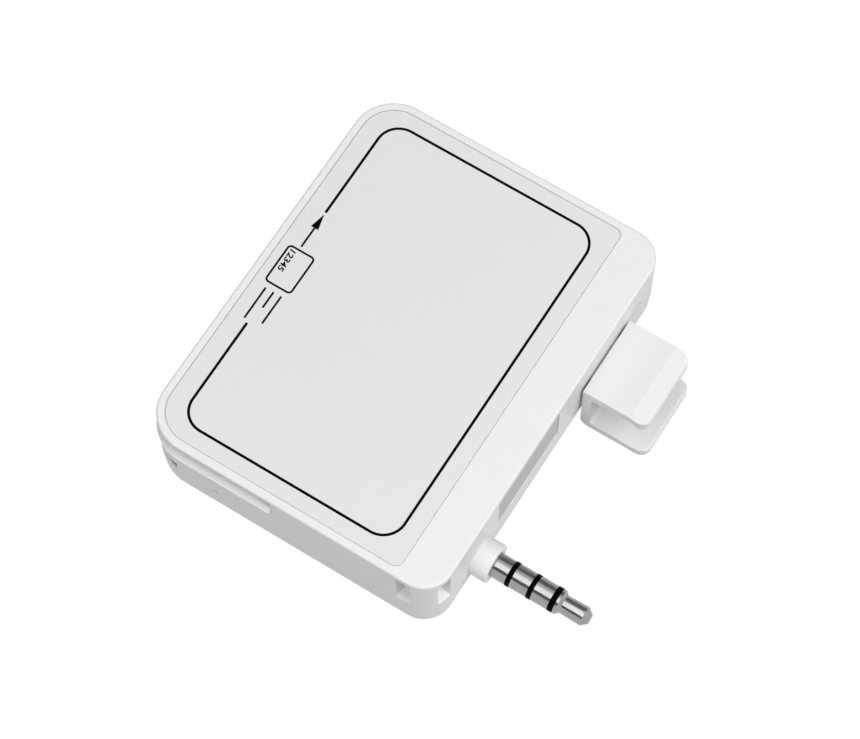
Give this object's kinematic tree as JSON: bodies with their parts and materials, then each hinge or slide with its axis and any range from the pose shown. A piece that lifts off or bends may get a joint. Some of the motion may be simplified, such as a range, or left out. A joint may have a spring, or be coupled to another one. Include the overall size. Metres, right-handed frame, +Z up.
{
  "type": "card payment terminal",
  "caption": "Pocket card payment reader: flat rounded casing with a swipe slot, a tap area, an audio plug and a sliding phone clip at one side.",
  "frame": {"origin": "centre of the casing's flat underside, below the middle of the tap area", "axes": "+X from the swipe slot's side towards the audio plug and phone clip, +Y along the swipe, +Z up out of the tap face"},
  "size_m": [0.0617, 0.0592, 0.0148],
  "materials": {
    "upper_casing": "satin white moulding",
    "lower_casing": "satin white moulding",
    "faceplate": "fine-grained white sheet with printed line art",
    "antenna_sheet": "amber film",
    "antenna_coil": "etched copper track",
    "antenna_contacts": "gold-plated sprung pins",
    "magnetic_head": "lapped metal can",
    "head_carriage": "stamped sheet",
    "head_springs": "bright spring wire",
    "head_ribbon": "flexible circuit",
    "main_board": "solder-masked board",
    "controller_chip": "moulded package",
    "radio_chip": "moulded package",
    "codec_chip": "moulded package",
    "clock_crystal": "metal lid",
    "capacitors": "fired chips",
    "resistors": "fired chips",
    "radio_shield": "tinned sheet",
    "battery": "laminated pouch",
    "battery_pad": "adhesive foam",
    "battery_tab_board": "solder-masked board",
    "battery_leads": "insulated wire",
    "battery_connector": "moulded housing",
    "buzzer": "moulded case",
    "status_lights": "clear lenses",
    "light_window": "smoked",
    "usb_socket": "plated shell",
    "usb_tongue": "moulded",
    "mode_switch_body": "plated sheet",
    "mode_switch_knob": "moulded",
    "reset_switch_body": "moulded",
    "reset_plunger": "moulded",
    "plug_base": "moulded block",
    "plug_terminals": "gold-plated tabs",
    "plug_collar": "satin white moulding",
    "plug_sleeve": "nickel plate",
    "plug_ring_inner": "nickel plate",
    "plug_ring_outer": "nickel plate",
    "plug_tip": "nickel plate",
    "plug_insulators": "black moulding",
    "phone_clip": "satin white moulding",
    "clip_retainer": "moulded",
    "rating_label": "bare grey label",
    "casing_screws": "plated screws"
  },
  "bodies": {
    "casing": {"upper_casing": "upper_casing", "lower_casing": "lower_casing", "faceplate": "faceplate", "antenna_sheet": "antenna_sheet", "antenna_coil": "antenna_coil", "antenna_contacts": "antenna_contacts", "head_springs": "head_springs", "head_ribbon": "head_ribbon", "main_board": "main_board", "controller_chip": "controller_chip", "radio_chip": "radio_chip", "codec_chip": "codec_chip", "clock_crystal": "clock_crystal", "capacitors": "capacitors", "resistors": "resistors", "radio_shield": "radio_shield", "battery": "battery", "battery_pad": "battery_pad", "battery_tab_board": "battery_tab_board", "battery_leads": "battery_leads", "battery_connector": "battery_connector", "buzzer": "buzzer", "status_lights": "status_lights", "light_window": "light_window", "usb_socket": "usb_socket", "usb_tongue": "usb_tongue", "mode_switch_body": "mode_switch_body", "reset_switch_body": "reset_switch_body", "plug_base": "plug_base", "plug_terminals": "plug_terminals", "plug_collar": "plug_collar", "plug_sleeve": "plug_sleeve", "plug_ring_inner": "plug_ring_inner", "plug_ring_outer": "plug_ring_outer", "plug_tip": "plug_tip", "plug_insulators": "plug_insulators", "rating_label": "rating_label", "casing_screws": "casing_screws"},
    "clip": {"phone_clip": "phone_clip", "clip_retainer": "clip_retainer"},
    "head": {"magnetic_head": "magnetic_head", "head_carriage": "head_carriage"},
    "mode_knob": {"mode_switch_knob": "mode_switch_knob"},
    "reset_button": {"reset_plunger": "reset_plunger"}
  },
  "joints": [
    {"name": "clip_slide", "type": "slide", "parent": "casing", "child": "clip", "axis": [0, 1, 0], "range_m": [0, 0.006]},
    {"name": "mode_switch_slide", "type": "slide", "parent": "casing", "child": "mode_knob", "axis": [1, 0, 0], "range_m": [0, 0.002]},
    {"name": "reset_press", "type": "slide", "parent": "casing", "child": "reset_button", "axis": [0, 1, 0], "range_m": [0, 0.00025], "stiffness_N_per_m": 1500, "springref_m": -0.0002},
    {"name": "head_float", "type": "slide", "parent": "casing", "child": "head", "axis": [0, 0, -1], "range_m": [0, 0.0004], "stiffness_N_per_m": 400, "springref_m": -0.001, "deforming": ["head_springs", "head_ribbon"]}
  ]
}
